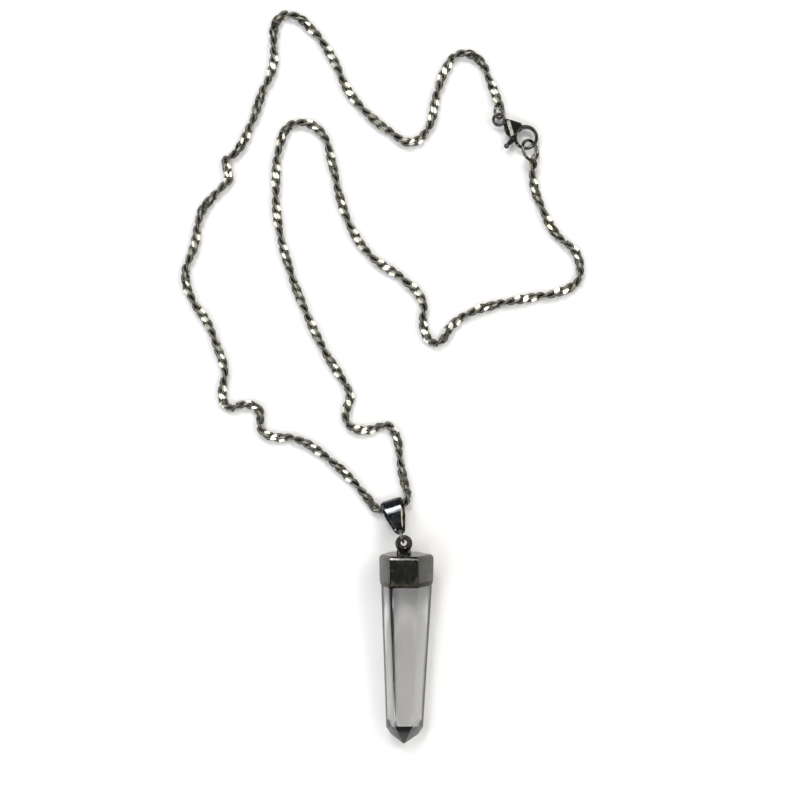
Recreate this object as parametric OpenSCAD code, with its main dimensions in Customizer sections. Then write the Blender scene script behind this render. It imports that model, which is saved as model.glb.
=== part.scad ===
// Crystal point pendant on a twisted curb chain, laid flat on a table
// Millimetres, +Z up, with the table at z = 0 and the origin below the middle of the whole necklace
// The pendant points towards -Y, and the clasp closes the chain at the upper right

/* [Crystal] */
// Length of the pendant from the top of its cap to the tip of the stone
pendant_len = 40.9; // [38:0.1:45]
// Height of the stone's pointed end, from its shoulder to the tip
point_h = 4; // [3.5:0.1:5]
// Gap all round between the stone's ground head and the cap
seat_gap = 0.06; // [0.03:0.01:0.1]

/* [Cap] */
// Length of the metal cap
cap_len = 6.65; // [6:0.05:8]
// Thickness of the cap's sheet
cap_wall = 0.3; // [0.25:0.05:0.4]
// Outer diameter of the eye on top of the cap
eye_d = 3.7; // [3.5:0.1:4]
// Thickness of the eye's wire
eye_wire = 0.8; // [0.7:0.05:0.9]

/* [Bail] */
// Width of the bail at its rolled end
bail_w = 4.8; // [4:0.1:5.5]
// Width of the bail at the ends of its legs
leg_w = 2.5; // [2.2:0.1:3]
// Outer radius of the roll that the chain runs through
roll_r = 1.7; // [1.7:0.05:1.9]
// Thickness of the bail's strip
strip_t = 0.45; // [0.35:0.05:0.5]
// Thickness of the wire of the small ring between bail and cap
link_wire = 0.6; // [0.5:0.05:0.65]

/* [Chain] */
// Width of the chain across its links
chain_w = 1.8; // [1.6:0.1:1.9]

/* [Clasp] */
// Thickness of the clasp's body
clasp_t = 2.6; // [2.4:0.1:3]
// Thickness of the clasp's rounded hook
hook_wire = 0.9; // [0.8:0.05:0.95]
// Thickness of the clasp's lever
lever_t = 1; // [0.9:0.05:1.1]
// Angle by which the lever is shown open, from 0 for closed
lever_open = 0; // [0:1:20]
// Outer diameter of the ring between clasp and chain
clasp_ring_d = 3.6; // [3.5:0.05:3.7]
// Outer diameter of the ring at the other end of the chain
end_ring_d = 5.2; // [5.1:0.05:5.3]
// Thickness of the end ring's wire
end_ring_wire = 0.7; // [0.6:0.05:0.75]

/* [Hidden] */
$fn = 32;
eps = 0.01;

// Columns of the hexagonal sections: distance below the cap's top, reach to the left corner,
// reach to the right corner, half the front facet's width, half the depth
BELOW = 0;
LEFT = 1;
RIGHT = 2;
FACE = 3;
DEEP = 4;

// Outside of the cap: its top edge is rounded in two slopes, and its rim is turned in to the stone
crimp_h = 1;
shoulder_h = 0.9;
cap_rows = [
    [0, 4.6, 5.7, 2.75, 4.6],
    [0.35, 5.12, 6.22, 3.08, 4.95],
    [shoulder_h, 5.3, 6.4, 3.2, 5.05],
    [cap_len - crimp_h, 5.2, 6.3, 3.15, 4.97],
    [cap_len, 4.95, 6.05, 3.05, 4.8],
];
// Hollow of the cap, which starts one wall below its top and runs out past the rim
hollow_rows = [
    inset([cap_wall, 4.85, 5.95, 2.95, 4.75], cap_wall),
    inset([shoulder_h, 5.3, 6.4, 3.2, 5.05], cap_wall),
    inset([cap_len + eps, 4.95, 6.05, 3.05, 4.8], cap_wall),
];
// The stone's ground head inside the cap, then its full width under the rim and its point in two slopes
glue_space = 0.3;
slope_h = 2.4;
point_at = pendant_len - point_h;
stone_rows = [
    inset([cap_wall + glue_space, 4.85, 5.95, 2.95, 4.75], cap_wall + seat_gap),
    inset([shoulder_h + glue_space, 5.25, 6.35, 3.15, 5], cap_wall + seat_gap),
    inset([cap_len + seat_gap, 4.95, 6.05, 3.05, 4.8], cap_wall + seat_gap),
    [cap_len + seat_gap + eps, 4.85, 6, 2.95, 4.72],
    [point_at, 3.78, 4.12, 2, 3.3],
    [pendant_len - slope_h, 2.72, 3.1, 1.5, 2.3],
    [pendant_len, 0.06, 0.06, 0.03, 0.05],
];

// The pendant lies on its cap, where the rim starts to turn in, and on the stone, where its point starts
cap_rest = cap_rows[3];
stone_rest = stone_rows[4];
lie_tilt = atan((cap_rest[DEEP] - stone_rest[DEEP]) / (stone_rest[BELOW] - cap_rest[BELOW]));
pendant_x = 4.6;
pendant_y = -38;
pendant_z = cap_rest[BELOW] * sin(lie_tilt) + cap_rest[DEEP] * cos(lie_tilt);

// Eye of the cap, on a foot that holds it a little above the cap's top
eye_up = eye_d / 2 + 0.4;
eye_z = pendant_z + eye_up * sin(lie_tilt);
eye_foot_w = 3.2;
eye_foot_h = 0.95;

// The bail's roll lies on the table and its legs rise to the small ring, which hangs a little below the eye
bail_x = 2.2;
bail_y = -28.1;
bail_turn = -72.7;
hole_at = 5.9;
hole_r = 0.45;
leg_len = 6.65;
leg_gap = 0.5;
link_r = 1.35;
link_at = 7.15;
link_drop = 0.45;
bail_slope = asin((eye_z - link_drop - roll_r) / link_at);
// Direction of the roll, along which the chain runs through the bail
roll_dir = [cos(bail_turn + 90), sin(bail_turn + 90), 0];

// Chain route, hand chosen along each strand from the bail: x, y and the height of its underside
lift_in_roll = 0.65;
left_route = [
    [2, -28.2, lift_in_roll],
    [-0.3, -28.9, 0.6],
    [-1.6, -28.3, 0.3],
    [-2.8, -26.8, 0],
    [-6, -23, 0],
    [-12, -17.5, 0],
    [-18.5, -13.5, 0],
    [-25, -12.5, 0],
    [-26.5, -10.5, 0],
    [-26.5, -7.5, 0],
    [-29, -6, 0],
    [-33.5, -6.5, 0],
    [-34.5, -4, 0],
    [-34, 1, 0],
    [-35.5, 6, 0],
    [-38, 12, 0],
    [-41, 16.5, 0],
    [-42.5, 22, 0],
    [-40.5, 28.5, 0],
    [-39, 35.5, 0],
    [-34.5, 41, 0],
    [-33, 43.5, 0],
    [-34, 45.5, 0],
    [-31, 49, 0],
    [-28.5, 54, 0],
    [-26, 61, 0],
    [-23.5, 67.5, 0],
    [-23.5, 73, 0],
    [-22.5, 77, 0],
    [-20, 78, 0],
    [-15, 74.5, 0],
    [-11, 69, 0],
    [-7, 61, 0],
    [-3, 56.5, 0],
    [2, 52.5, 0],
    [6.5, 50.5, 0],
    [10, 54, 0],
    [11.5, 60, 0],
    [13.5, 66, 0],
    [16.5, 69.5, 0],
    [20.5, 68.5, 0],
    [23, 64, 0],
    [25, 59.1, 0.2],
];
right_route = [
    [2, -28.2, lift_in_roll],
    [4.3, -27.5, 0.6],
    [5.4, -26.6, 0.4],
    [5.3, -25, 0.1],
    [4.5, -22, 0],
    [3.5, -16, 0],
    [3, -13, 0],
    [1, -10.5, 0],
    [-2.5, -11.5, 0],
    [-6.5, -11, 0],
    [-8, -8.5, 0],
    [-7, -4, 0],
    [-8.5, -1, 0],
    [-12.5, 5.5, 0],
    [-17, 15, 0],
    [-20, 23, 0],
    [-22.5, 33, 0],
    [-23, 41.5, 0],
    [-22, 50.5, 0],
    [-20, 54, 0],
    [-16, 54.5, 0],
    [-12.5, 51.5, 0],
    [-11, 46.5, 0],
    [-9, 38, 0],
    [-6.5, 31.5, 0],
    [-2.5, 26, 0],
    [5, 20.5, 0],
    [8.5, 16.5, 0],
    [9, 10, 0],
    [10.5, 7.5, 0],
    [12.5, 7.5, 0],
    [14.5, 10.5, 0],
    [18.5, 13.5, 0],
    [24.5, 15.5, 0],
    [32, 17, 0],
    [39, 18.5, 0],
    [42, 20.5, 0],
    [42.5, 24, 0],
    [41.5, 27, 0],
    [38, 30, 0],
    [34.5, 36, 0],
    [32.5, 42, 0],
    [32.5, 45.8, 0.2],
];
tube_sides = 8;
meet_gap = 0.02;

// Clasp, drawn about the middle of its hook with its tail towards -X, then turned and set down
clasp_x = 30.9;
clasp_y = 51.4;
clasp_turn = -33.7;
clasp_mid_z = 1.5;
hook_r = 2.3;
hook_from = -105;
hook_to = 175;
throat_r = 1.85;
tail_x = -7;
tail_r = 1.17;
tail_wire = 0.7;
body_bevel = 0.5;
// Circles that the body's plan is stretched round: x, y and radius
body_circles = [
    [-3.9, -0.3, 1.9],
    [-5.1, -0.1, 0.95],
    [-2.7, 1.2, 0.85],
];

// Lever: its pivot in the body, the gate that closes the hook, and its thumb arm
pivot = [-3.6, -0.9];
rivet_r = 0.35;
pivot_gap = 0.05;
hub_r = 0.95;
slot_gap = 0.05;
slot_reach = 2.9;
// Corners of the lever's room in the body, from the pivot
slot_corners = [[-0.6, 0.4], [-1.6, -4], [4, -4], [4, 1.5], [0.4, 1]];
gate_w = 0.7;
gate_reach = 3.15;
gate_top = -1;
gate_side = -0.55;
// Circles of the lever's plan: x, y and radius
gate_root = [-2.05, -1.3, 0.5];
arm_root = [-2.1, -1.9, 0.6];
knob = [-2.5, -3.8, 0.45];

// Rings of the clasp: distance and direction from the eye or hook, and how far they lean
clasp_ring_wire = 0.6;
clasp_ring_off = 1.8;
clasp_ring_dir = 122;
clasp_ring_lean = 50;
end_ring_off = 2.9;
end_ring_dir = -38.5;
end_ring_lean = 45;
end_ring_z = (end_ring_d - end_ring_wire) / 2 * sin(end_ring_lean) + end_ring_wire / 2;

// Length of the drills and cutters that run right through a piece
through = 4;

// A hexagonal section moved inwards by a wall's thickness, at the same distance below the cap's top
function inset(row, by) = row - by * [0, 1 / cos(30), 1 / cos(30), tan(30), 1];

// Corners of one hexagonal section, all at the same distance below the cap's top
function hexagon(row) = [
    [-row[FACE], -row[BELOW], row[DEEP]],
    [row[FACE], -row[BELOW], row[DEEP]],
    [row[RIGHT], -row[BELOW], 0],
    [row[FACE], -row[BELOW], -row[DEEP]],
    [-row[FACE], -row[BELOW], -row[DEEP]],
    [-row[LEFT], -row[BELOW], 0],
];

// Faces of a closed tube through rings of the same number of corners
function tube_faces(rings, sides) = concat(
    [[for (k = [sides - 1:-1:0]) k]],
    [for (i = [0:rings - 2], k = [0:sides - 1]) each [
        [i * sides + k, (i + 1) * sides + (k + 1) % sides, (i + 1) * sides + k],
        [i * sides + k, i * sides + (k + 1) % sides, (i + 1) * sides + (k + 1) % sides],
    ]],
    [[for (k = [0:sides - 1]) (rings - 1) * sides + k]]
);

function unit(v) = v / norm(v);

// Middle of the chain at point i of its route
function chain_mid(route, i) = [route[i].x, route[i].y, route[i].z + chain_w / 2];

// Direction from point i of a route to the next one
function step_dir(route, i) = unit(chain_mid(route, i + 1) - chain_mid(route, i));

// Direction of the chain at point i, the first one along the bail's roll
function chain_dir(route, i, first) =
    i == 0 ? first :
    i == len(route) - 1 ? step_dir(route, i - 1) :
    unit(step_dir(route, i - 1) + step_dir(route, i));

// One ring of the chain's tube, with a flat side down
function chain_ring(mid, dir) =
    let (side = unit(cross(dir, [0, 0, 1])), up = cross(side, dir), r = chain_w / 2 / cos(180 / tube_sides))
    [for (k = [0:tube_sides - 1])
        let (a = (k + 0.5) * 360 / tube_sides)
        mid + r * (cos(a) * side + sin(a) * up)];

module at(place) {
    translate([place.x, place.y]) children();
}

module disc(circle_row, by = 0) {
    at(circle_row) circle(circle_row.z - by);
}

module section_solid(rows) {
    polyhedron([for (row = rows) each hexagon(row)], tube_faces(len(rows), 6));
}

module wire_ring(outer_d, wire) {
    rotate_extrude() translate([(outer_d - wire) / 2, 0]) circle(d = wire);
}

// Sets a pendant piece down on the table, from its own place with the cap's top at the origin
module lay_pendant() {
    translate([pendant_x, pendant_y, pendant_z]) rotate([lie_tilt, 0, 0]) children();
}

// Sets down what is drawn with the roll's centre at the origin and the legs along +X
module lay_bail() {
    translate([bail_x, bail_y, roll_r]) rotate([0, -bail_slope, bail_turn]) children();
}

module lay_clasp() {
    translate([clasp_x, clasp_y, clasp_mid_z]) rotate(clasp_turn) children();
}

// A strand from the bail, where it starts a hair's gap away from the other one
module chain_tube(route, first) {
    mids = [for (i = [0:len(route) - 1]) chain_mid(route, i) + (i == 0 ? meet_gap : 0) * first];
    polyhedron(
        [for (i = [0:len(route) - 1]) each chain_ring(mids[i], chain_dir(route, i, first))],
        tube_faces(len(route), tube_sides)
    );
}

module crystal() {
    color([0.86, 0.86, 0.85, 0.6]) lay_pendant() section_solid(stone_rows);
}

module cap() {
    color([0.35, 0.35, 0.34]) lay_pendant() {
        difference() {
            section_solid(cap_rows);
            section_solid(hollow_rows);
        }
        translate([-eye_foot_w / 2, -eps, -eye_wire / 2]) cube([eye_foot_w, eye_foot_h, eye_wire]);
        translate([0, eye_up, 0]) wire_ring(eye_d, eye_wire);
    }
}

module bail_link() {
    color([0.45, 0.45, 0.43]) lay_bail()
        translate([link_at, 0, 0]) rotate([90, 0, 0]) wire_ring(2 * link_r + link_wire, link_wire);
}

// Side view of the folded strip: a roll that runs into two legs with an open gap between their ends
module bail_side() {
    legs_r = leg_gap / 2 + strip_t;
    difference() {
        hull() {
            circle(roll_r);
            translate([leg_len - legs_r, 0]) circle(legs_r);
        }
        hull() {
            circle(roll_r - strip_t);
            translate([leg_len - legs_r, 0]) circle(leg_gap / 2);
            translate([leg_len + leg_gap, 0]) circle(leg_gap / 2);
        }
    }
}

// Front view of the strip, which narrows from the roll to the legs' rounded ends
module bail_front() {
    hull() {
        translate([-roll_r - eps, -bail_w / 2]) square([1.5 * roll_r, bail_w]);
        translate([leg_len - leg_w / 2, 0]) circle(d = leg_w);
    }
}

module bail() {
    color([0.3, 0.3, 0.31]) lay_bail() difference() {
        intersection() {
            rotate([90, 0, 0]) linear_extrude(bail_w + 1, center = true) bail_side();
            linear_extrude(3 * roll_r, center = true) bail_front();
        }
        translate([hole_at, 0, 0]) cylinder(h = through, r = hole_r, center = true);
    }
}

module chain_left() {
    color([0.45, 0.45, 0.42]) chain_tube(left_route, -roll_dir);
}

module chain_right() {
    color([0.45, 0.45, 0.42]) chain_tube(right_route, roll_dir);
}

module clasp_ring() {
    color([0.45, 0.45, 0.43]) lay_clasp()
        translate([tail_x, 0, 0]) rotate(clasp_ring_dir)
        translate([clasp_ring_off, 0, 0]) rotate([clasp_ring_lean, 0, 0])
        wire_ring(clasp_ring_d, clasp_ring_wire);
}

// Plan of the clasp's body between its tail and its hook
module body_plan(by) {
    hull() for (row = body_circles) disc(row, by);
}

// Room for the lever inside the body, from its rest to its open place
module lever_room() {
    linear_extrude(lever_t + 2 * slot_gap, center = true) at(pivot) {
        circle(hub_r + pivot_gap);
        intersection() {
            circle(slot_reach);
            polygon(slot_corners);
        }
    }
}

module clasp_body() {
    color([0.3, 0.3, 0.31]) lay_clasp() {
        difference() {
            hull() {
                linear_extrude(clasp_t, center = true) body_plan(body_bevel);
                linear_extrude(clasp_t - 2 * body_bevel, center = true) body_plan(0);
            }
            cylinder(h = through, r = throat_r, center = true);
            lever_room();
        }
        at(pivot) cylinder(h = clasp_t - eps, r = rivet_r, center = true);
        rotate(hook_from) rotate_extrude(angle = hook_to - hook_from)
            translate([hook_r, 0]) circle(d = hook_wire);
        translate([tail_x, 0, 0]) rotate_extrude() translate([tail_r, 0]) circle(d = tail_wire);
    }
}

// Plan of the lever: a hub, the gate that closes the hook, and the arm of its thumb knob
module lever_plan() {
    intersection() {
        difference() {
            circle(hook_r + gate_w / 2);
            circle(hook_r - gate_w / 2);
            translate([-2 * hook_r, gate_top]) square(4 * hook_r);
            translate([gate_side, -2 * hook_r]) square(4 * hook_r);
        }
        at(pivot) circle(gate_reach);
    }
    hull() {
        at(pivot) circle(hub_r);
        disc(gate_root);
    }
    hull() {
        disc(arm_root);
        disc(knob);
    }
}

module clasp_lever() {
    color([0.4, 0.4, 0.39]) lay_clasp()
        at(pivot) rotate(lever_open) at(-pivot)
        difference() {
            linear_extrude(lever_t, center = true) lever_plan();
            at(pivot) cylinder(h = through, r = rivet_r + pivot_gap, center = true);
        }
}

module end_ring() {
    color([0.45, 0.45, 0.43])
        translate([clasp_x, clasp_y, end_ring_z]) rotate(clasp_turn + end_ring_dir)
        translate([end_ring_off, 0, 0]) rotate([-end_ring_lean, 0, 0])
        wire_ring(end_ring_d, end_ring_wire);
}

crystal();
cap();
bail_link();
bail();
chain_left();
chain_right();
clasp_ring();
clasp_body();
clasp_lever();
end_ring();
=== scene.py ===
import math

import bmesh
import bpy
from mathutils import Matrix, Vector


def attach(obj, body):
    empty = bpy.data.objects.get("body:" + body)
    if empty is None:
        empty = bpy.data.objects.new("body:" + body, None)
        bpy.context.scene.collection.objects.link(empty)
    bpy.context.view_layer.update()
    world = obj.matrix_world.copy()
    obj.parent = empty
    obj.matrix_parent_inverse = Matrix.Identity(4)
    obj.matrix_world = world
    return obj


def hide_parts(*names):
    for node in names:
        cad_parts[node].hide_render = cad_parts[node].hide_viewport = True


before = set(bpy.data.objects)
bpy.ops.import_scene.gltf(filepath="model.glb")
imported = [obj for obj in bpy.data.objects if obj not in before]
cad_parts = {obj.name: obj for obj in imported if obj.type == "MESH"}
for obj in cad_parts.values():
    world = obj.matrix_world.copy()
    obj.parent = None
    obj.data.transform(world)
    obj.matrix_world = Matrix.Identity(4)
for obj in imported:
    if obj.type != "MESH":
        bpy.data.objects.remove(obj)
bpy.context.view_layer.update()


# Camera. It looks straight down from half a metre, a little to the right of the necklace's middle,
# as the photograph was taken, and the picture is 172.8 mm wide on the table.
camera_height = 0.5
picture_width = 0.1728
sensor_width = 36

camera_data = bpy.data.cameras.new("camera")
camera_data.sensor_width = sensor_width
camera_data.lens = sensor_width * camera_height / picture_width
camera = bpy.data.objects.new("camera", camera_data)
camera.location = (0.00378, -0.00508, camera_height)
bpy.context.scene.collection.objects.link(camera)
bpy.context.scene.camera = camera


# Crystal. A clear quartz point, sawn and ground to six long facets and a low six-sided tip, then polished.
# Its ground head is glued into the cap, and it lies on its shoulder with its front facet upwards.
mm = 0.001
pendant_len = 40.9 * mm
point_h = 4 * mm
slope_h = 2.4 * mm
cap_len = 6.65 * mm
cap_wall = 0.3 * mm
shoulder_h = 0.9 * mm
glue_space = 0.3 * mm
seat_gap = 0.06 * mm
crimp_h = 1 * mm
edge_polish = 0.05 * mm
pendant_place = (4.6 * mm, -38 * mm)
quartz_tint = "f7f6f5"
veil_tint = "eeedeb"
veil_size = 3.2 * mm
clear_haze = 0.1
veil_haze = 0.16
scratch_size = 0.35 * mm
scratch_depth = 0.01 * mm
# The near-black of the painted dark reflection on the stone's side corners, left inner edge and tip facets.
painted_dark_reflection = "010101"
side_band = 0.3 * mm
right_outline = 0.92
inner_line_fade = 0.32
dark_facet_z = 0.8 * mm
dark_facet_x = 0.5 * mm
glue_tint = "1c1a17"


def linear_colour(hex_value):
    """The linear colour of an sRGB hex value, with full alpha."""
    parts = [int(hex_value[i:i + 2], 16) / 255 for i in (0, 2, 4)]
    return [c / 12.92 if c <= 0.04045 else ((c + 0.055) / 1.055) ** 2.4 for c in parts] + [1]


def add_node(tree, kind, inputs, **settings):
    """Adds a node, sets its properties, and gives or links its inputs, which are named or numbered."""
    node = tree.nodes.new(kind)
    for name, value in settings.items():
        setattr(node, name, value)
    for socket, value in inputs.items():
        if isinstance(value, bpy.types.NodeSocket):
            tree.links.new(value, node.inputs[socket])
        else:
            node.inputs[socket].default_value = value
    return node


def new_material(name):
    """An empty node material with its output, as (material, tree, output)."""
    material = bpy.data.materials.new(name)
    material.use_nodes = True
    material.node_tree.nodes.clear()
    return material, material.node_tree, material.node_tree.nodes.new("ShaderNodeOutputMaterial")


def ramp(tree, factor, stops):
    """The colour output of a colour ramp with stops of (position, hex colour)."""
    node = add_node(tree, "ShaderNodeValToRGB", {"Fac": factor})
    while len(node.color_ramp.elements) < len(stops):
        node.color_ramp.elements.new(0.5)
    for element, (position, hex_value) in zip(node.color_ramp.elements, stops):
        element.position = position
        element.color = linear_colour(hex_value)
    return node.outputs["Color"]


def inset(row, by):
    """A hexagonal section moved inwards by a wall's thickness."""
    below, left, right, face, deep = row
    corner = by / math.cos(math.radians(30))
    return (below, left - corner, right - corner, face - by * math.tan(math.radians(30)), deep - by)


def hexagon_solid(sections, back=None, leads=None):
    """A closed mesh through hexagonal sections: distance below the cap's top, reach to the left
    and right corner, half the front facet's width and half the depth. For an uneven stone, the back
    facet's own corners, depth and lag and the leads of the front and side corners are given."""
    mesh = bmesh.new()
    rings = []
    for i, (below, left, right, face, deep) in enumerate(sections):
        back_left, back_right, back_deep, lag = back[i] if back else (face, face, deep, 0)
        lead, side_lead = leads[i] if leads else (0, 0)
        corners = ((-face, deep, lead), (face, deep, lead), (right, 0, side_lead),
                   (back_right, -back_deep, -lag), (-back_left, -back_deep, -lag), (-left, 0, side_lead))
        rings.append([mesh.verts.new((x, ahead - below, z)) for x, z, ahead in corners])
    for upper, lower in zip(rings, rings[1:]):
        for i in range(6):
            mesh.faces.new((upper[i], upper[(i + 1) % 6], lower[(i + 1) % 6], lower[i]))
    mesh.faces.new(reversed(rings[0]))
    mesh.faces.new(rings[-1])
    bmesh.ops.recalc_face_normals(mesh, faces=mesh.faces)
    return mesh


def as_object(mesh, name):
    """Turns a bmesh into an object in the scene."""
    data = bpy.data.meshes.new(name)
    mesh.to_mesh(data)
    mesh.free()
    made = bpy.data.objects.new(name, data)
    bpy.context.scene.collection.objects.link(made)
    return made


def apply_modifiers(piece, sharp_angle=35):
    """Turns the modifiers into plain mesh and shades it smooth, apart from edges past the angle."""
    shown = piece.evaluated_get(bpy.context.evaluated_depsgraph_get())
    made = bpy.data.meshes.new_from_object(shown)
    piece.modifiers.clear()
    piece.data = made
    made.shade_smooth()
    made.set_sharp_from_angle(angle=math.radians(sharp_angle))


def bevel(piece, width, segments, angle=25):
    """Rounds the piece's edges that turn by more than the angle."""
    modifier = piece.modifiers.new("edges", "BEVEL")
    modifier.width = width
    modifier.segments = segments
    modifier.limit_method = "ANGLE"
    modifier.angle_limit = math.radians(angle)


def place(piece, body, node, material):
    """Gives a finished piece its material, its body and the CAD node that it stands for."""
    piece.data.materials.clear()
    piece.data.materials.append(material)
    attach(piece, body)
    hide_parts(node)


def section(below, *reaches):
    """A section at a distance below the cap's top, with its reaches given in millimetres."""
    return [below, *(reach * mm for reach in reaches)]


# The stone's rows run from its head in the cap to its tip. Each back row holds the reach of the back facet's
# left and right corner, its depth and its lag towards the tip, in millimetres. The leads, towards the cap,
# are those of the front corners and of the side corners.
stone_fit = cap_wall + seat_gap
rows_in_cap = 3
crimp_section = section(cap_len - crimp_h, 5.2, 6.3, 3.15, 4.97)
point_section = section(pendant_len - point_h, 3.78, 4.12, 2, 3.3)
stone_sections = [
    inset(section(cap_wall + glue_space, 4.85, 5.95, 2.95, 4.75), stone_fit),
    inset(section(shoulder_h + glue_space, 5.25, 6.35, 3.15, 5), stone_fit),
    inset(section(cap_len + seat_gap, 4.95, 6.05, 3.05, 4.8), stone_fit),
    section(cap_len + 1.2 * seat_gap, 4.85, 6, 2.95, 4.72),
    point_section,
    section(pendant_len - slope_h, 2.72, 3.1, 1.3, 2.5),
    section(pendant_len, 0.06, 0.06, 0.03, 0.05),
]
back_rows = [(2, 2.4, 4.75, 0), (2, 2.7, 5, 0), (2, 2.75, 4.8, 0), (2, 2.75, 4.72, 0),
             (1.3, 1.75, 3.34, -1.2), (0.9, 1.2, 1.5, 0), (0.03, 0.03, 0.05, 0)]
back_corners = [(left * mm, right * mm, (deep * mm - (stone_fit if i < rows_in_cap else 0)), lag * mm)
                for i, (left, right, deep, lag) in enumerate(back_rows)]
corner_leads = [(0, 0)] * 4 + [(0.35 * mm, -0.35 * mm), (0.75 * mm, -0.35 * mm), (0, 0)]
lie_tilt = math.atan((crimp_section[4] - point_section[4]) / (point_section[0] - crimp_section[0]))
pendant_z = crimp_section[0] * math.sin(lie_tilt) + crimp_section[4] * math.cos(lie_tilt)
lay_pendant = Matrix.Translation((*pendant_place, pendant_z)) @ Matrix.Rotation(lie_tilt, 4, "X")


def polished_quartz():
    """Polished clear quartz: it bends the table's white into grey, with faint milky veils and polishing
    scratches along it. Its side corners, its left inner edge and the front facets of its tip carry a painted
    dark reflection, which stands in for the dark room that such a stone mirrors there. The head that is glued
    into the cap is dull and brown."""
    material, tree, output = new_material("polished clear quartz")
    place_in_stone = add_node(tree, "ShaderNodeTexCoord", {}).outputs["Object"]
    along = add_node(tree, "ShaderNodeMapping", {"Vector": place_in_stone, "Scale": (1, 0.18, 1)})
    veils = add_node(tree, "ShaderNodeTexNoise",
                     {"Vector": along.outputs[0], "Scale": 1 / veil_size, "Detail": 4, "Roughness": 0.55})
    tint = ramp(tree, veils.outputs[0], [(0.38, quartz_tint), (0.72, veil_tint)])
    scratch_lines = add_node(tree, "ShaderNodeMapping", {"Vector": place_in_stone, "Scale": (1, 0.03, 1)})
    scratches = add_node(tree, "ShaderNodeTexNoise",
                         {"Vector": scratch_lines.outputs[0], "Scale": 1 / scratch_size, "Detail": 2})
    wavy = add_node(tree, "ShaderNodeBump",
                    {"Height": scratches.outputs[0], "Strength": 0.05, "Distance": scratch_depth})
    haze = add_node(tree, "ShaderNodeMapRange",
                    {"Value": veils.outputs[0], "From Min": 0.45, "From Max": 0.75,
                     "To Min": clear_haze, "To Max": veil_haze})
    outline, inner_line, shaded, glued = (
        add_node(tree, "ShaderNodeAttribute", {}, attribute_name=name).outputs["Fac"]
        for name in ("outline", "inner_line", "shaded", "glued"))
    outline = ramp(tree, outline, [(0.68, "000000"), (0.82, "ffffff")])
    inner_line = ramp(tree, inner_line, [(0.6, "000000"), (0.78, "c8c8c8"), (0.86, "ffffff")])
    lines = add_node(tree, "ShaderNodeMath", {0: outline, 1: inner_line}, operation="MAXIMUM")
    dark = add_node(tree, "ShaderNodeMath", {0: lines.outputs[0], 1: shaded}, operation="MAXIMUM")
    # The painted dark reflection is mixed into the stone's colour where the marks say.
    darkened = add_node(tree, "ShaderNodeMix", {0: dark.outputs[0], 6: tint, 7: linear_colour(painted_dark_reflection)},
                        data_type="RGBA")
    shader = add_node(tree, "ShaderNodeBsdfPrincipled",
                      {"Base Color": darkened.outputs[2], "Roughness": haze.outputs[0], "IOR": 1.544,
                       "Transmission Weight": 1, "Normal": wavy.outputs[0]})
    glue = add_node(tree, "ShaderNodeBsdfPrincipled",
                    {"Base Color": linear_colour(glue_tint), "Roughness": 0.6})
    whole = add_node(tree, "ShaderNodeMixShader", {0: glued, 1: shader.outputs[0], 2: glue.outputs[0]})
    tree.links.new(whole.outputs[0], output.inputs["Surface"])
    return material


# The stone carries four marks for its material: the head that is glued in, and the painted dark reflection on
# the front facets of the tip, on the side corners and along the left inner edge, whose dark line fades
# towards the tip.
crystal_mesh = hexagon_solid(stone_sections, back_corners, corner_leads)
glued = crystal_mesh.faces.layers.float.new("glued")
shaded = crystal_mesh.faces.layers.float.new("shaded")
for face in crystal_mesh.faces:
    middle = face.calc_center_median()
    face[glued] = 1 if middle.y > -cap_len else 0
    in_front = middle.z > dark_facet_z and abs(middle.x) < dark_facet_x
    face[shaded] = 1 if in_front and middle.y < point_h - pendant_len else 0
crystal_mesh.transform(lay_pendant)
crystal = as_object(crystal_mesh, "quartz_point")
bevel(crystal, edge_polish, 2, angle=12)
apply_modifiers(crystal)
line_names = ("outline", "inner_line")
for name in line_names:
    crystal.data.attributes.new(name, "FLOAT", "POINT")
outline, inner_line = (crystal.data.attributes[name].data for name in line_names)
for v in crystal.data.vertices:
    spot = lay_pendant.inverted() @ v.co
    if abs(spot.z) < side_band:
        outline[v.index].value = 1 if spot.x < 0 else right_outline
    elif spot.z > 0 and spot.x < 0:
        inner_line[v.index].value = 1 + inner_line_fade * spot.y / pendant_len
place(crystal, "root", "crystal", polished_quartz())


# Cap. A hexagonal cup pressed from thin brass, rhodium plated to a dark mirror, with its rim turned in
# to the stone. A wire eye stands on a small flared foot, which is soldered to the cap's top.
cap_edge = 0.16 * mm
eye_d = 3.7 * mm
eye_wire = 1.05 * mm
eye_up = eye_d / 2 + 0.4 * mm
eye_thick = 1.35 * mm
foot_rows = [(-0.05, 1.65, 0.8), (0.1, 1.62, 0.72), (0.3, 1.58, 0.5), (0.7, 1.55, 0.42), (0.95, 1.45, 0.34)]
foot_sides = 32
plate_dark = "4a4946"
plate_pale = "67665f"
plate_wave = 0.085 * mm
grain_size = 0.3 * mm
rub_depth = 0.006 * mm
blotch_size = 1.6 * mm
# The brown-grey painted shade on the cap's turned-in rim and on its eye and foot: its colour, how strongly it
# is painted on each, where it starts on the rim and how soft its edge is.
rim_shade_colour = "28241f"
rim_shade_share = 0.95
rim_shade_from = cap_len - crimp_h - 0.02 * mm
rim_shade_fade = 0.1 * mm
eye_shade_share = 0.5


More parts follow.
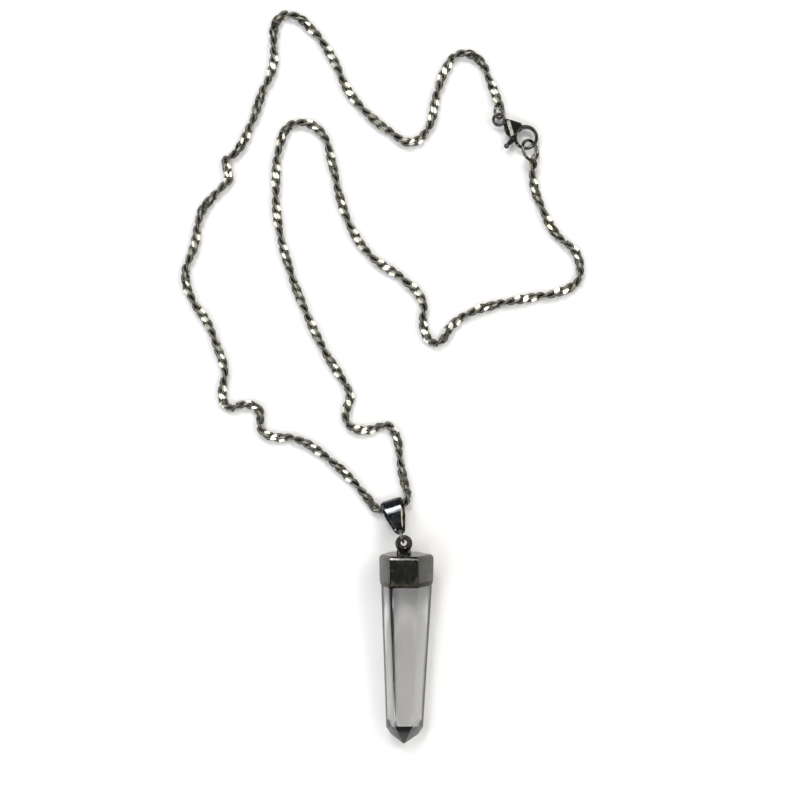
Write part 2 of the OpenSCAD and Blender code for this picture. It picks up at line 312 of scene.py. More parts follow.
def ring_mesh(outer_d, wire, around=64, across=16, turn=None, foot_wire=None):
    """A closed wire ring in the XY plane about the origin, or turned by a matrix. A wire that is thicker
    at the foot grows towards -Y, and the ring keeps its outer diameter."""
    mesh = bmesh.new()
    loops = []
    for i in range(around):
        a = 2 * math.pi * i / around
        out = Vector((math.cos(a), math.sin(a), 0))
        thick = (wire + ((foot_wire or wire) - wire) * (1 - out.y) / 2) / 2
        loops.append([mesh.verts.new(out * (outer_d / 2 - thick * (1 - math.cos(b)))
                                     + Vector((0, 0, thick * math.sin(b))))
                      for b in (2 * math.pi * k / across for k in range(across))])
    for i in range(around):
        here, after = loops[i], loops[(i + 1) % around]
        for k in range(across):
            n = (k + 1) % across
            mesh.faces.new((here[k], after[k], after[n], here[n]))
    if turn is not None:
        mesh.transform(turn)
    bmesh.ops.recalc_face_normals(mesh, faces=mesh.faces)
    return mesh


def join_into(mesh, other):
    """Adds another bmesh's faces to a mesh."""
    data = bpy.data.meshes.new("part")
    other.to_mesh(data)
    other.free()
    mesh.from_mesh(data)
    bpy.data.meshes.remove(data)


def plated_mirror(name, grain_along, dark, pale, rub_strength=0.25, roughness=(0.1, 0.26), wave=0.02 * mm,
                  dirt_and_shade=None):
    """Rhodium plate on polished brass: a dark mirror with fine grinding lines along the piece, soft
    blotches where the polish waves, paler rubbed marks, and a brown-grey painted shade where the mesh is
    marked."""
    material, tree, output = new_material(name)
    spot = add_node(tree, "ShaderNodeTexCoord", {}).outputs["Object"]
    stretch = add_node(tree, "ShaderNodeMapping", {"Vector": spot, "Scale": grain_along})
    grain = add_node(tree, "ShaderNodeTexNoise",
                     {"Vector": stretch.outputs[0], "Scale": 1 / grain_size, "Detail": 3})
    blotches = add_node(tree, "ShaderNodeTexNoise",
                        {"Vector": spot, "Scale": 1 / blotch_size, "Detail": 5, "Roughness": 0.62,
                         "Distortion": 0.8})
    worn = add_node(tree, "ShaderNodeMath", {0: grain.outputs[0], 1: blotches.outputs[0]},
                    operation="MULTIPLY")
    tint = ramp(tree, worn.outputs[0], [(0.12, dark), (0.42, pale)])
    # Where the mesh is marked, a painted shade is mixed into the plate's colour.
    if dirt_and_shade:
        painted_shade = add_node(tree, "ShaderNodeAttribute", {}, attribute_name="painted_shade").outputs["Fac"]
        mixed = add_node(tree, "ShaderNodeMix", {0: painted_shade, 6: tint, 7: linear_colour(dirt_and_shade)}, data_type="RGBA")
        tint = mixed.outputs[2]
    rough = add_node(tree, "ShaderNodeMapRange",
                     {"Value": blotches.outputs[0], "From Min": 0.35, "From Max": 0.7,
                      "To Min": roughness[0], "To Max": roughness[1]})
    fine = add_node(tree, "ShaderNodeBump",
                    {"Height": grain.outputs[0], "Strength": rub_strength, "Distance": rub_depth})
    waves = add_node(tree, "ShaderNodeBump",
                     {"Height": blotches.outputs[0], "Strength": 1, "Distance": wave,
                      "Normal": fine.outputs[0]})
    shader = add_node(tree, "ShaderNodeBsdfPrincipled",
                      {"Base Color": tint, "Metallic": 1, "Roughness": rough.outputs[0],
                       "Normal": waves.outputs[0]})
    tree.links.new(shader.outputs[0], output.inputs["Surface"])
    return material


cap_sections = [
    section(0, 4.6, 5.7, 2.75, 4.6),
    section(0.35 * mm, 5.12, 6.22, 3.08, 4.85),
    section(shoulder_h, 5.3, 6.4, 3.2, 5.05),
    crimp_section,
    section(cap_len, 4.95, 6.05, 3.05, 4.8),
    inset(section(cap_len, 4.95, 6.05, 3.05, 4.8), cap_wall),
    inset(section(shoulder_h, 5.3, 6.4, 3.2, 5.05), cap_wall),
    inset(section(cap_wall, 4.85, 5.95, 2.95, 4.75), cap_wall),
]
cap = as_object(hexagon_solid(cap_sections), "hexagonal_cap")
bevel(cap, cap_edge, 3, angle=8)
apply_modifiers(cap)
cap_mesh = bmesh.new()
cap_mesh.from_mesh(cap.data)
eye_turn = Matrix.Translation((0, eye_up, 0))
join_into(cap_mesh, ring_mesh(eye_d, eye_wire, turn=eye_turn, foot_wire=eye_thick))

# The foot's rows are rounded oblongs: how far up, half the width and half the depth, in millimetres.
foot = bmesh.new()
foot_rings = []
for up, half_width, half_depth in foot_rows:
    foot_rings.append([])
    for k in range(foot_sides):
        a = 2 * math.pi * k / foot_sides
        x = math.copysign(abs(math.cos(a)) ** 0.4, math.cos(a))
        z = math.copysign(abs(math.sin(a)) ** 0.6, math.sin(a))
        foot_rings[-1].append(foot.verts.new((half_width * mm * x, up * mm, half_depth * mm * z)))
for lower, upper in zip(foot_rings, foot_rings[1:]):
    for k in range(foot_sides):
        n = (k + 1) % foot_sides
        foot.faces.new((lower[k], lower[n], upper[n], upper[k]))
foot.faces.new(foot_rings[0])
foot.faces.new(foot_rings[-1])
bmesh.ops.recalc_face_normals(foot, faces=foot.faces)
join_into(cap_mesh, foot)

# Painted shade: the turned-in rim at the crimp and the eye with its foot are marked, so that they are tinted
# brown-grey as where shade falls in the crimp and round the eye.
painted_shade = cap_mesh.verts.layers.float.new("painted_shade")
for v in cap_mesh.verts:
    on_rim = min(1, max(0, (-v.co.y - rim_shade_from) / rim_shade_fade))
    on_eye = eye_shade_share if v.co.y > 0 else 0
    v[painted_shade] = max(rim_shade_share * on_rim, on_eye)
cap_mesh.transform(lay_pendant)
cap_mesh.to_mesh(cap.data)
cap_mesh.free()
cap.data.shade_smooth()
cap.data.set_sharp_from_angle(angle=math.radians(35))
place(cap, "root", "cap",
      plated_mirror("rhodium plated brass cap", (1, 0.05, 1), plate_dark, plate_pale, wave=plate_wave,
                    dirt_and_shade=rim_shade_colour))


# Bail and its ring. A strip of plated brass with ground bevels along its edges, rolled over the chain and
# folded to two legs, and a small ring of drawn wire that joins the legs' holes to the cap's eye.
roll_r = 1.7 * mm
strip_t = 0.45 * mm
bail_w = 4.8 * mm
leg_w = 2.5 * mm
leg_len = 6.65 * mm
leg_gap = 0.5 * mm
hole_at = 5.9 * mm
hole_r = 0.45 * mm
link_r = 1.35 * mm
link_wire = 0.6 * mm
link_at = 7.15 * mm
link_drop = 0.45 * mm
bevel_w = 0.62 * mm
right_drop = 0.26 * mm
left_drop = 0.42 * mm
crease_at = 1.8 * mm
crease_out = 0.26 * mm
shoulder_turn = math.radians(94.5)
shoulder_len = 1.07 * mm
bail_dark = "404144"
bail_pale = "686a6e"
drawn_dark = "5c5b56"
drawn_pale = "8a8981"
bail_place = (2.2 * mm, -28.1 * mm)
bail_turn = math.radians(-72.7)
eye_z = pendant_z + eye_up * math.sin(lie_tilt)
bail_slope = math.asin((eye_z - link_drop - roll_r) / link_at)
lay_bail = (Matrix.Translation((*bail_place, roll_r)) @ Matrix.Rotation(bail_turn, 4, "Z")
            @ Matrix.Rotation(-bail_slope, 4, "Y"))


def bail_half_width(x):
    """Half the strip's width at a distance from the roll's middle, down to its rounded leg end."""
    taper_from, end_mid, end_r = 0.5 * roll_r, leg_len - leg_w / 2, leg_w / 2
    span = math.hypot(end_mid - taper_from, bail_w / 2)
    slope = math.atan2(bail_w / 2, end_mid - taper_from) - math.asin(end_r / span)
    if x < taper_from:
        return bail_w / 2
    if x < end_mid + end_r * math.sin(slope):
        return bail_w / 2 - (x - taper_from) * math.tan(slope)
    return math.sqrt(max(end_r ** 2 - (x - end_mid) ** 2, (0.2 * end_r) ** 2))


def bail_path():
    """Points of the strip's middle line from the lower leg's end round the roll to the upper one's,
    each with the direction that faces outwards."""
    end_r = leg_gap / 2 + strip_t
    mid_r = roll_r - strip_t / 2
    lean = math.asin((roll_r - end_r) / (leg_len - end_r))
    out_leg = Vector((math.sin(lean), 0, math.cos(lean)))
    along = Vector((math.cos(lean), 0, -math.sin(lean)))
    start = out_leg * mid_r
    finish = Vector((leg_len - end_r, 0, 0)) + out_leg * (end_r - strip_t / 2) + along * 0.62 * end_r
    crease = start + along * crease_at + out_leg * crease_out
    out_shoulder = Vector((math.cos(shoulder_turn), 0, math.sin(shoulder_turn)))
    shoulder = out_shoulder * mid_r + Vector((out_shoulder.z, 0, -out_shoulder.x)) * shoulder_len
    rise = (crease - shoulder).normalized()
    out_band = Vector((-rise.z, 0, rise.x))
    down = (finish - crease).normalized()
    out_face = Vector((-down.z, 0, down.x))
    shares = [0, 0.03, 0.08, 0.15, 0.24, 0.36, 0.5, 0.7]
    upper = [(finish.lerp(crease, share), out_face) for share in shares + [0.98]]
    upper += [(crease.lerp(shoulder, share), out_band) for share in (0.05, 0.96)]
    upper += [(shoulder.lerp(out_shoulder * mid_r, share), out_shoulder) for share in (0.08, 0.6)]
    back = 2 * math.pi - (math.pi / 2 - lean)
    steps = 28
    turns = [shoulder_turn + (back - shoulder_turn) * i / steps for i in range(steps + 1)]
    roll = [(out * mid_r, out) for out in (Vector((math.cos(a), 0, math.sin(a))) for a in turns)]
    lower = [(Vector((p.x, 0, -p.z)), Vector((out_leg.x, 0, -out_leg.z)))
             for p in (finish.lerp(start, share) for share in reversed(shares))]
    return upper + roll + lower


bail_mesh = bmesh.new()
bail_rings = []
for point, out in bail_path():
    half = bail_half_width(point.x)
    ground = min(bevel_w, 0.45 * half)
    profile = [(-half, -strip_t / 2), (half, -strip_t / 2), (half, strip_t / 2 - right_drop),
               (half - ground, strip_t / 2), (ground - half, strip_t / 2), (-half, strip_t / 2 - left_drop)]
    bail_rings.append([bail_mesh.verts.new(point + Vector((0, y, 0)) + out * t) for y, t in profile])
for here, after in zip(bail_rings, bail_rings[1:]):
    for k in range(6):
        n = (k + 1) % 6
        bail_mesh.faces.new((here[k], here[n], after[n], after[k]))
bail_mesh.faces.new(bail_rings[0])
bail_mesh.faces.new(bail_rings[-1])
bmesh.ops.recalc_face_normals(bail_mesh, faces=bail_mesh.faces)
bail = as_object(bail_mesh, "folded_bail")
drill_mesh = bmesh.new()
bmesh.ops.create_cone(drill_mesh, cap_ends=True, segments=32, radius1=hole_r, radius2=hole_r, depth=8 * mm,
                      matrix=Matrix.Translation((hole_at, 0, 0)))
drill = as_object(drill_mesh, "drill")
drilled = bail.modifiers.new("hole for the ring", "BOOLEAN")
drilled.operation = "DIFFERENCE"
drilled.object = drill
bevel(bail, edge_polish, 2, angle=40)
apply_modifiers(bail, sharp_angle=22)
bpy.data.objects.remove(drill)
bail.data.transform(lay_bail)
place(bail, "root", "bail",
      plated_mirror("rhodium plated brass strip", (1, 0.2, 1), bail_dark, bail_pale, rub_strength=0.12,
                    roughness=(0.08, 0.2)))

drawn_wire = plated_mirror("rhodium plated drawn wire", (0.3, 0.3, 1), drawn_dark, drawn_pale,
                           rub_strength=0.3)
in_holes = lay_bail @ (Matrix.Translation((link_at, 0, 0)) @ Matrix.Rotation(math.radians(90), 4, "X"))
bail_link = as_object(ring_mesh(2 * link_r + link_wire, link_wire, turn=in_holes), "bail_ring")
bail_link.data.shade_smooth()
place(bail_link, "root", "bail_link", drawn_wire)


# Chain. A twisted curb chain of flattened wire links: each link is bent so that it passes through the
# next one, the whole chain turns by half every 9 mm or so, and the links' flats are diamond cut, so that
# they flash.
link_width = 1.95 * mm
link_half_len = 1.3 * mm
wire_w = 0.72 * mm
wire_t = 0.6 * mm
link_rise = 0.36 * mm
link_pitch = 1.75 * mm
links_per_half_turn = 5
cut_half = 0.31 * mm
cut_level = 0.44 * mm
link_turns = [12, 34, 56, 78]
link_play = math.radians(4)
play_seed = 7
last_link_turn = math.radians(54)
wire_dark = "5a5955"
wire_pale = "7d7c75"
cut_pale = "a5a394"
hollow_dirt_size = 0.9 * mm

# Each strand's route from the bail on, in millimetres: its place on the table and how far it is lifted.
left_route = [(2, -28.2, 0.65), (-0.3, -28.9, 0.6), (-1.6, -28.3, 0.3), (-2.8, -26.8, 0), (-6, -23, 0),
              (-12, -17.5, 0), (-18.5, -13.5, 0), (-25, -12.5, 0), (-26.5, -10.5, 0), (-26.5, -7.5, 0),
              (-29, -6, 0), (-33.5, -6.5, 0), (-34.5, -4, 0), (-34, 1, 0), (-35.5, 6, 0), (-38, 12, 0),
              (-41, 16.5, 0), (-42.5, 22, 0), (-40.5, 28.5, 0), (-39, 35.5, 0), (-34.5, 41, 0),
              (-33, 43.5, 0), (-34, 45.5, 0), (-31, 49, 0), (-28.5, 54, 0), (-26, 61, 0), (-23.5, 67.5, 0),
              (-23.5, 73, 0), (-22.5, 77, 0), (-20, 78, 0), (-15, 74.5, 0), (-11, 69, 0), (-7, 61, 0),
              (-3, 56.5, 0), (2, 52.5, 0), (6.5, 50.5, 0), (10, 54, 0), (11.5, 60, 0), (13.5, 66, 0),
              (16.5, 69.5, 0), (20.5, 68.5, 0), (23, 64, 0), (25.1, 58.8, 0.5)]
right_route = [(2, -28.2, 0.65), (4.3, -27.5, 0.6), (5.4, -26.6, 0.4), (5.3, -25, 0.1), (4.5, -22, 0),
               (3.5, -16, 0), (3, -13, 0), (1, -10.5, 0), (-2.5, -11.5, 0), (-6.5, -11, 0), (-8, -8.5, 0),
               (-7, -4, 0), (-8.5, -1, 0), (-12.5, 5.5, 0), (-17, 15, 0), (-20, 23, 0), (-22.5, 33, 0),
               (-23, 41.5, 0), (-22, 50.5, 0), (-20, 54, 0), (-16, 54.5, 0), (-12.5, 51.5, 0), (-11, 46.5, 0),
               (-9, 38, 0), (-6.5, 31.5, 0), (-2.5, 26, 0), (5, 20.5, 0), (8.5, 16.5, 0), (9, 10, 0),
               (10.5, 7.5, 0), (12.5, 7.5, 0), (14.5, 10.5, 0), (18.5, 13.5, 0), (24.5, 15.5, 0), (32, 17, 0),
               (39, 18.5, 0), (42, 20.5, 0), (42.5, 24, 0), (41.5, 27, 0), (38, 30, 0), (34.5, 36, 0),
               (32.5, 42, 0), (32.45, 46.2, 0.85)]


def link_shape():
    """One bent curb link along X about the origin: flattened wire of six sides, whose upper and lower
    flats are marked as cut."""
    mesh = bmesh.new()
    half_w = (link_width - wire_w) / 2
    profile = [(wire_w / 2, 0), (cut_half, wire_t / 2), (-cut_half, wire_t / 2),
               (-wire_w / 2, 0), (-cut_half, -wire_t / 2), (cut_half, -wire_t / 2)]
    loops = []
    for a in (math.radians(quarter + turn) for quarter in (0, 90, 180, 270) for turn in link_turns):
        middle = Vector((link_half_len * math.cos(a), half_w * math.sin(a), -link_rise * math.sin(2 * a)))
        along = Vector((-link_half_len * math.sin(a), half_w * math.cos(a), 0)).normalized()
        out = Vector((along.y, -along.x, 0))
        corners = [middle + out * w + Vector((0, 0, t)) for w, t in profile]
        loops.append([mesh.verts.new((c.x, c.y, max(-cut_level, min(cut_level, c.z)))) for c in corners])
    cut = mesh.faces.layers.float.new("cut")
    for here, after in zip(loops, loops[1:] + loops[:1]):
        for k in range(6):
            n = (k + 1) % 6
            face = mesh.faces.new((here[k], after[k], after[n], here[n]))
            level = min(abs(v.co.z) for v in face.verts)
            face[cut] = 1 if k in (1, 4) and level > 0.99 * cut_level else 0
            face.smooth = face[cut] == 0
    bmesh.ops.recalc_face_normals(mesh, faces=mesh.faces)
    return as_object(mesh, "link")


def strand_tree():
    """Sets links along a strand's curve, each turned a little further about the chain than the last."""
    tree = bpy.data.node_groups.new("links along a strand", "GeometryNodeTree")
    inputs = (("Geometry", "Geometry"), ("Link", "Object"), ("First gap", "Float"), ("Links", "Int"),
              ("Turn", "Float"), ("First angle", "Float"), ("Looseness", "Float"), ("Metal", "Material"))
    for name, kind in inputs:
        tree.interface.new_socket(name, in_out="INPUT", socket_type="NodeSocket" + kind)
    tree.interface.new_socket("Geometry", in_out="OUTPUT", socket_type="NodeSocketGeometry")
    given = tree.nodes.new("NodeGroupInput").outputs
    link = add_node(tree, "GeometryNodeObjectInfo", {"Object": given["Link"]})
    whole = add_node(tree, "GeometryNodeCurveLength", {"Curve": given["Geometry"]})
    trimmed = add_node(tree, "GeometryNodeTrimCurve",
                       {"Curve": given["Geometry"], 4: given["First gap"], 5: whole.outputs[0]},
                       mode="LENGTH")
    spaced = add_node(tree, "GeometryNodeResampleCurve",
                      {"Curve": trimmed.outputs[0], "Count": given["Links"]})
    ahead = add_node(tree, "GeometryNodeInputTangent", {})
    pointed = add_node(tree, "FunctionNodeAlignRotationToVector", {"Vector": ahead.outputs[0]}, axis="X")
    upright = add_node(tree, "FunctionNodeAlignRotationToVector",
                       {"Rotation": pointed.outputs[0], "Vector": (0, 0, 1)}, axis="Z", pivot_axis="X")
    number = add_node(tree, "GeometryNodeInputIndex", {})
    regular = add_node(tree, "ShaderNodeMath",
                       {0: number.outputs[0], 1: given["Turn"], 2: given["First angle"]},
                       operation="MULTIPLY_ADD")
    play = add_node(tree, "FunctionNodeRandomValue", {2: -1.0, 3: 1.0, "Seed": play_seed})
    angle = add_node(tree, "ShaderNodeMath",
                     {0: play.outputs[1], 1: given["Looseness"], 2: regular.outputs[0]},
                     operation="MULTIPLY_ADD")
    about = add_node(tree, "FunctionNodeAxisAngleToRotation",
                     {"Axis": (1, 0, 0), "Angle": angle.outputs[0]})
    turned = add_node(tree, "FunctionNodeRotateRotation",
                      {"Rotation": upright.outputs[0], "Rotate By": about.outputs[0]},
                      rotation_space="LOCAL")
    links = add_node(tree, "GeometryNodeInstanceOnPoints",
                     {"Points": spaced.outputs[0], "Instance": link.outputs["Geometry"],
                      "Rotation": turned.outputs[0]})
    real = add_node(tree, "GeometryNodeRealizeInstances", {"Geometry": links.outputs[0]})
    plated = add_node(tree, "GeometryNodeSetMaterial",
                      {"Geometry": real.outputs[0], "Material": given["Metal"]})
    add_node(tree, "NodeGroupOutput", {0: plated.outputs[0]})
    return tree


def diamond_cut_links():
    """Rhodium plated brass links: the cut flats are near-mirrors that flash cream and white, and the
    drawn wire between them is duller and darkened in the hollows."""
    material, tree, output = new_material("diamond cut plated links")
    spot = add_node(tree, "ShaderNodeTexCoord", {}).outputs["Object"]
    cut = add_node(tree, "ShaderNodeAttribute", {}, attribute_name="cut").outputs["Fac"]
    dirt_and_shade = add_node(tree, "ShaderNodeTexNoise",
                    {"Vector": spot, "Scale": 1 / hollow_dirt_size, "Detail": 4})
    drawn = ramp(tree, dirt_and_shade.outputs[0], [(0.35, wire_dark), (0.65, wire_pale)])
    tint = add_node(tree, "ShaderNodeMix", {0: cut, 6: drawn, 7: linear_colour(cut_pale)}, data_type="RGBA")
    rough = add_node(tree, "ShaderNodeMapRange", {"Value": cut, "To Min": 0.45, "To Max": 0.12})
    dents = add_node(tree, "ShaderNodeBump",
                     {"Height": dirt_and_shade.outputs[0], "Strength": 0.15, "Distance": 0.02 * mm})
    shader = add_node(tree, "ShaderNodeBsdfPrincipled",
                      {"Base Color": tint.outputs[2], "Metallic": 1, "Roughness": rough.outputs[0],
                       "Normal": dents.outputs[0]})
    tree.links.new(shader.outputs[0], output.inputs["Surface"])
    return material


def strand(name, route, node, last_angle, tree, link, metal):
    """One strand of links from the bail to its ring, with its last link turned to let the ring through."""
    curve = bpy.data.curves.new(name, "CURVE")
    curve.dimensions = "3D"
    spline = curve.splines.new("BEZIER")
    spline.bezier_points.add(len(route) - 1)
    for point, (x, y, lift) in zip(spline.bezier_points, route):
        point.co = (x * mm, y * mm, lift * mm + link_width / 2)
        point.handle_left_type = point.handle_right_type = "AUTO"
    path = bpy.data.objects.new(name + "_route", curve)
    bpy.context.scene.collection.objects.link(path)
    bpy.context.view_layer.update()
    count = round(spline.calc_length() / link_pitch + 0.5)
    turn = math.pi / links_per_half_turn
    first_angle = last_angle - (count - 1) * turn
    modifier = path.modifiers.new("links", "NODES")
    modifier.node_group = tree
    values = {"Link": link, "First gap": link_pitch / 2, "Links": count, "Turn": turn,
              "First angle": first_angle, "Looseness": link_play, "Metal": metal}
    for item in tree.interface.items_tree:
        if item.in_out == "INPUT" and item.name in values:
            modifier[item.identifier] = values[item.name]
    shown = path.evaluated_get(bpy.context.evaluated_depsgraph_get())
    data = bpy.data.meshes.new_from_object(shown)
    made = bpy.data.objects.new(name, data)
    bpy.context.scene.collection.objects.link(made)
    bpy.data.objects.remove(path)
    place(made, "root", node, metal)


link = link_shape()
link_metal = diamond_cut_links()
links_tree = strand_tree()
strand("left_strand", left_route, "chain_left", last_link_turn, links_tree, link, link_metal)
strand("right_strand", right_route, "chain_right", -last_link_turn, links_tree, link, link_metal)
bpy.data.objects.remove(link)


# Clasp. A small lobster clasp cast in brass, tumbled smooth and plated. Its body, hook and tail eye are one
# casting, and a flat lever turns on a rivet in the body's slot, shut by a hidden spring.
clasp_place = (30.9 * mm, 51.4 * mm, 1.5 * mm)
clasp_turn = math.radians(-33.7)
hook_r = 2.3 * mm
hook_turns = (-105, 175)
hook_wire = 0.9 * mm
throat_r = 1.85 * mm
tail_x = -7 * mm
tail_r = 1.17 * mm
tail_wire = 0.7 * mm
pivot = Vector((-3.6 * mm, -0.9 * mm, 0))
rivet_r = 0.35 * mm
rivet_len = 1.7 * mm
hub_r = 0.95 * mm
lever_t = 1 * mm
gate_turns = (-165, -107)
gate_w = 0.75 * mm
knob_r = 0.58 * mm
slot_gap = 0.05 * mm
cast_grain = 0.06 * mm
lever_grain = 0.05 * mm
casting_dark = "42423f"
casting_pale = "64645f"
lay_clasp = Matrix.Translation(clasp_place) @ Matrix.Rotation(clasp_turn, 4, "Z")

# Plans in millimetres, of circles as (x, y, radius): the body, the lever's root and its thumb arm. The body's
# levels are (height, inset, reach towards the cheek), and the slot is a fan about the pivot.
body_circles = [(-5.35, 0.5, 0.7), (-3.6, 0, 1.7), (-2.7, 1.25, 0.85), (-3, -1.75, 0.55)]
cheek_dir = Vector((-0.645, -0.764, 0))
cheek_corners = [(-5.05, 1.2, 1.3), (-2.45, -1, 1.3), (-5.55, 0.63, 0.81), (-2.9, -1.61, 0.81)]
body_levels = [(0, 0, 9), (0.81, 0.12, 3), (1.3, 0.35, 2.1)]
gate_root = [(-3.6, -0.9, 0.95), (-2.05, -1.3, 0.5)]
thumb_arm = [(-2.1, -1.9, 0.6), (-2.5, -3.8, 0.34)]
thumb_arm_t = 0.9
slot_reach = 2.9
slot_corners = [(-0.6, 0.4), (0.4, 1)]
slot_turns = range(-112, 21, 12)


def round_outline(circles, by, steps=28):
    """Points round circles of (x, y, radius) in millimetres, each circle smaller by a width."""
    turns = [2 * math.pi * k / steps for k in range(steps)]
    return [Vector((x + (r - by) * math.cos(a), y + (r - by) * math.sin(a), 0))
            for x, y, r in circles for a in turns]


def stretched(points):
    """A solid stretched round points that are given in millimetres."""
    mesh = bmesh.new()
    for p in points:
        mesh.verts.new(p * mm)
    bmesh.ops.convex_hull(mesh, input=mesh.verts)
    bmesh.ops.delete(mesh, geom=[v for v in mesh.verts if not v.link_faces], context="VERTS")
    bmesh.ops.recalc_face_normals(mesh, faces=mesh.faces)
    return mesh


def plate(circles, height, edge=0):
    """A flat plate of a height in millimetres, stretched round circles, with its edges broken."""
    levels = ((-height / 2, edge), (edge - height / 2, 0), (height / 2 - edge, 0), (height / 2, edge))
    return stretched([p + Vector((0, 0, z)) for z, by in levels for p in round_outline(circles, by)])


def bent_bar(radius, from_deg, to_deg, wide, tall, square, steps=40, sides=20):
    """A closed bar bent round the origin; wide and tall are given by the share of its length, and square,
    from 0 to 1, is how flat its four sides are."""
    mesh = bmesh.new()
    loops = []
    for i in range(steps + 1):
        share = i / steps
        a = math.radians(from_deg + (to_deg - from_deg) * share)
        out = Vector((math.cos(a), math.sin(a), 0))
        loops.append([])
        for k in range(sides):
            b = 2 * math.pi * k / sides
            flat = max(abs(math.cos(b)), abs(math.sin(b)))
            push = 1 / (1 - square + square * flat)
            loops[-1].append(mesh.verts.new(out * (radius + wide(share) / 2 * math.cos(b) * push)
                                            + Vector((0, 0, tall(share) / 2 * math.sin(b) * push))))
    for here, after in zip(loops, loops[1:]):
        for k in range(sides):
            n = (k + 1) % sides
            mesh.faces.new((here[k], after[k], after[n], here[n]))
    mesh.faces.new(loops[0])
    mesh.faces.new(loops[-1])
    bmesh.ops.recalc_face_normals(mesh, faces=mesh.faces)
    return mesh


def melt_together(piece, grain, soften):
    """Melts the joined solids of a piece into one and softens its edges, as casting and tumbling do."""
    melt = piece.modifiers.new("one casting", "REMESH")
    melt.mode = "VOXEL"
    melt.voxel_size = grain
    tumble = piece.modifiers.new("tumbled", "SMOOTH")
    tumble.factor = 0.5
    tumble.iterations = soften
    apply_modifiers(piece)


def cut_away(piece, cutter_mesh):
    """Cuts a solid out of a piece."""
    cutter = as_object(cutter_mesh, "cutter")
    cut = piece.modifiers.new("cut", "BOOLEAN")
    cut.operation = "DIFFERENCE"
    cut.object = cutter
    apply_modifiers(piece)
    bpy.data.objects.remove(cutter)


def drum(radius, height, middle=Vector((0, 0, 0)), sides=48):
    """A closed cylinder along Z."""
    mesh = bmesh.new()
    bmesh.ops.create_cone(mesh, cap_ends=True, segments=sides, radius1=radius, radius2=radius, depth=height,
                          matrix=Matrix.Translation(middle))
    return mesh


body_points = [p + Vector((0, 0, side * z)) for z, by, reach in body_levels for side in (-1, 1)
               for p in round_outline(body_circles, by) if p.dot(cheek_dir) <= reach]
body_points += [Vector((x, y, side * z)) for x, y, z in cheek_corners for side in (-1, 1)]
body = as_object(stretched(body_points), "clasp_casting")
cut_away(body, drum(throat_r, 4 * mm))
body_mesh = bmesh.new()
body_mesh.from_mesh(body.data)
join_into(body_mesh, bent_bar(hook_r, *hook_turns, lambda share: hook_wire * (0.8 + 0.5 * share ** 3),
                              lambda share: hook_wire * (0.95 + 0.7 * share ** 3), 0.45))
join_into(body_mesh, ring_mesh(2 * tail_r + tail_wire, tail_wire, turn=Matrix.Translation((tail_x, 0, 0))))
body_mesh.to_mesh(body.data)
body_mesh.free()
melt_together(body, cast_grain, 4)
slot_h = (lever_t + 2 * slot_gap) / mm
cut_away(body, plate([(pivot.x / mm, pivot.y / mm, (hub_r + slot_gap) / mm)], slot_h))
slot_arc = [(slot_reach * math.cos(math.radians(a)), slot_reach * math.sin(math.radians(a)))
            for a in slot_turns]
slot_points = [(pivot.x / mm + x, pivot.y / mm + y, 0.01) for x, y in slot_corners + slot_arc]
cut_away(body, plate(slot_points, slot_h))
rivet_mesh = bmesh.new()
rivet_mesh.from_mesh(body.data)
join_into(rivet_mesh, drum(rivet_r, rivet_len, pivot, sides=24))
rivet_mesh.transform(lay_clasp)
rivet_mesh.to_mesh(body.data)
rivet_mesh.free()
body.data.shade_smooth()
body.data.set_sharp_from_angle(angle=math.radians(45))
casting_metal = plated_mirror("tumbled and plated casting", (1, 1, 1), casting_dark, casting_pale,
                              rub_strength=0.08, roughness=(0.06, 0.14), wave=0.012 * mm)
place(body, "root", "clasp_body", casting_metal)

lever_mesh = bent_bar(hook_r, *gate_turns, lambda share: gate_w, lambda share: lever_t, 0.9)
join_into(lever_mesh, plate(gate_root, lever_t / mm, 0.1))
join_into(lever_mesh, plate(thumb_arm, thumb_arm_t, 0.12))
knob = bmesh.new()
knob_x, knob_y = thumb_arm[-1][:2]
bmesh.ops.create_uvsphere(knob, u_segments=24, v_segments=16, radius=knob_r,
                          matrix=Matrix.Translation((knob_x * mm, knob_y * mm, 0)))
join_into(lever_mesh, knob)
lever = as_object(lever_mesh, "clasp_lever_arm")
melt_together(lever, lever_grain, 2)
lever.data.transform(lay_clasp)
place(lever, "clasp_lever", "clasp_lever", casting_metal)


# Rings at the clasp. Two jump rings of drawn wire: the small one joins the left strand to the clasp's tail,
# and the larger one ends the right strand and is what the hook holds.
clasp_ring_d = 3.6 * mm
clasp_ring_wire = 0.6 * mm
clasp_ring_off = 1.8 * mm
clasp_ring_dir = math.radians(122)
clasp_ring_lean = math.radians(50)
end_ring_d = 5.2 * mm
end_ring_wire = 0.7 * mm
end_ring_off = 2.9 * mm
end_ring_dir = math.radians(-38.5)
end_ring_lean = math.radians(45)
end_ring_z = (end_ring_d - end_ring_wire) / 2 * math.sin(end_ring_lean) + end_ring_wire / 2

on_tail = (lay_clasp @ Matrix.Translation((tail_x, 0, 0)) @ Matrix.Rotation(clasp_ring_dir, 4, "Z")
           @ Matrix.Translation((clasp_ring_off, 0, 0)) @ Matrix.Rotation(clasp_ring_lean, 4, "X"))
clasp_ring = as_object(ring_mesh(clasp_ring_d, clasp_ring_wire, turn=on_tail), "clasp_jump_ring")
clasp_ring.data.shade_smooth()
place(clasp_ring, "root", "clasp_ring", drawn_wire)
in_hook = (Matrix.Translation((clasp_place[0], clasp_place[1], end_ring_z))
           @ Matrix.Rotation(clasp_turn + end_ring_dir, 4, "Z")
           @ Matrix.Translation((end_ring_off, 0, 0)) @ Matrix.Rotation(-end_ring_lean, 4, "X"))
end_ring = as_object(ring_mesh(end_ring_d, end_ring_wire, turn=in_hook), "end_jump_ring")
end_ring.data.shade_smooth()
place(end_ring, "root", "end_ring", drawn_wire)


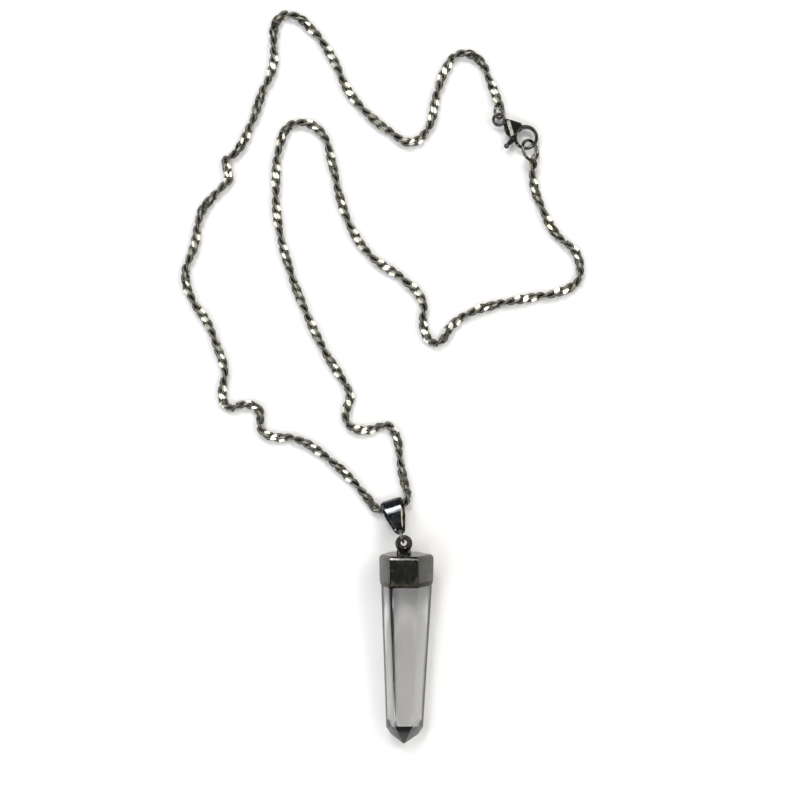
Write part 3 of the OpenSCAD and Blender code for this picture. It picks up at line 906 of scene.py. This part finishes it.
# Floor and light. A plain white table under soft studio light: a broad ring light overhead and three small
# softboxes, with a dark ceiling and grey walls round them, which is what the photograph's metal shows.
lamp_distance = 1.5
table_white = "fbfbfb"
floor_mesh = bmesh.new()
bmesh.ops.create_grid(floor_mesh, x_segments=1, y_segments=1, size=3)
floor = as_object(floor_mesh, "floor")
floor_paint, floor_tree, floor_out = new_material("plain white table")
floor_shader = add_node(floor_tree, "ShaderNodeBsdfPrincipled",
                        {"Base Color": linear_colour(table_white), "Roughness": 0.9,
                         "Specular IOR Level": 0.1})
floor_tree.links.new(floor_shader.outputs[0], floor_out.inputs["Surface"])
floor.data.materials.append(floor_paint)


def softbox(name, azimuth, elevation, size, watts, hex_value):
    """A square soft light that faces the necklace; azimuth 0 is towards +X and 90 towards +Y."""
    data = bpy.data.lights.new(name, "AREA")
    data.shape = "SQUARE"
    data.size = size
    data.energy = watts
    data.color = linear_colour(hex_value)[:3]
    lamp = bpy.data.objects.new(name, data)
    a, e = math.radians(azimuth), math.radians(elevation)
    towards_lamp = Vector((math.cos(a) * math.cos(e), math.sin(a) * math.cos(e), math.sin(e)))
    lamp.location = towards_lamp * lamp_distance
    lamp.rotation_mode = "QUATERNION"
    lamp.rotation_quaternion = lamp.location.to_track_quat("Z", "Y")
    bpy.context.scene.collection.objects.link(lamp)


softbox("back softbox", 107, 46, 0.36, 6.5, "ffffff")
softbox("right softbox", 37, 42, 0.38, 4, "fff0cc")
softbox("left softbox", 195, 31, 0.38, 3.6, "fdfcf8")

# The room is drawn by how steeply one looks up: grey walls, a dark ceiling and the ring light's band.
world = bpy.data.worlds.new("studio")
world.use_nodes = True
world.node_tree.nodes.clear()
sky = add_node(world.node_tree, "ShaderNodeTexCoord", {})
towards = add_node(world.node_tree, "ShaderNodeSeparateXYZ", {0: sky.outputs["Generated"]})
walls = ramp(world.node_tree, towards.outputs["Z"],
             [(0.0, "8c8c8c"), (0.5, "5c5c5c"), (0.68, "303030"), (0.9, "2c2c2c"), (0.97, "7c7c7c")])
ring_light = ramp(world.node_tree, towards.outputs["Z"],
                  [(0.735, "000000"), (0.75, "fcfdff"), (0.845, "fcfdff"), (0.86, "000000")])
room = add_node(world.node_tree, "ShaderNodeBackground", {"Color": walls, "Strength": 1.0})
lamps = add_node(world.node_tree, "ShaderNodeBackground", {"Color": ring_light, "Strength": 3.9})
both = add_node(world.node_tree, "ShaderNodeAddShader", {0: room.outputs[0], 1: lamps.outputs[0]})
add_node(world.node_tree, "ShaderNodeOutputWorld", {"Surface": both.outputs[0]})
bpy.context.scene.world = world
bpy.context.scene.view_settings.view_transform = "Standard"
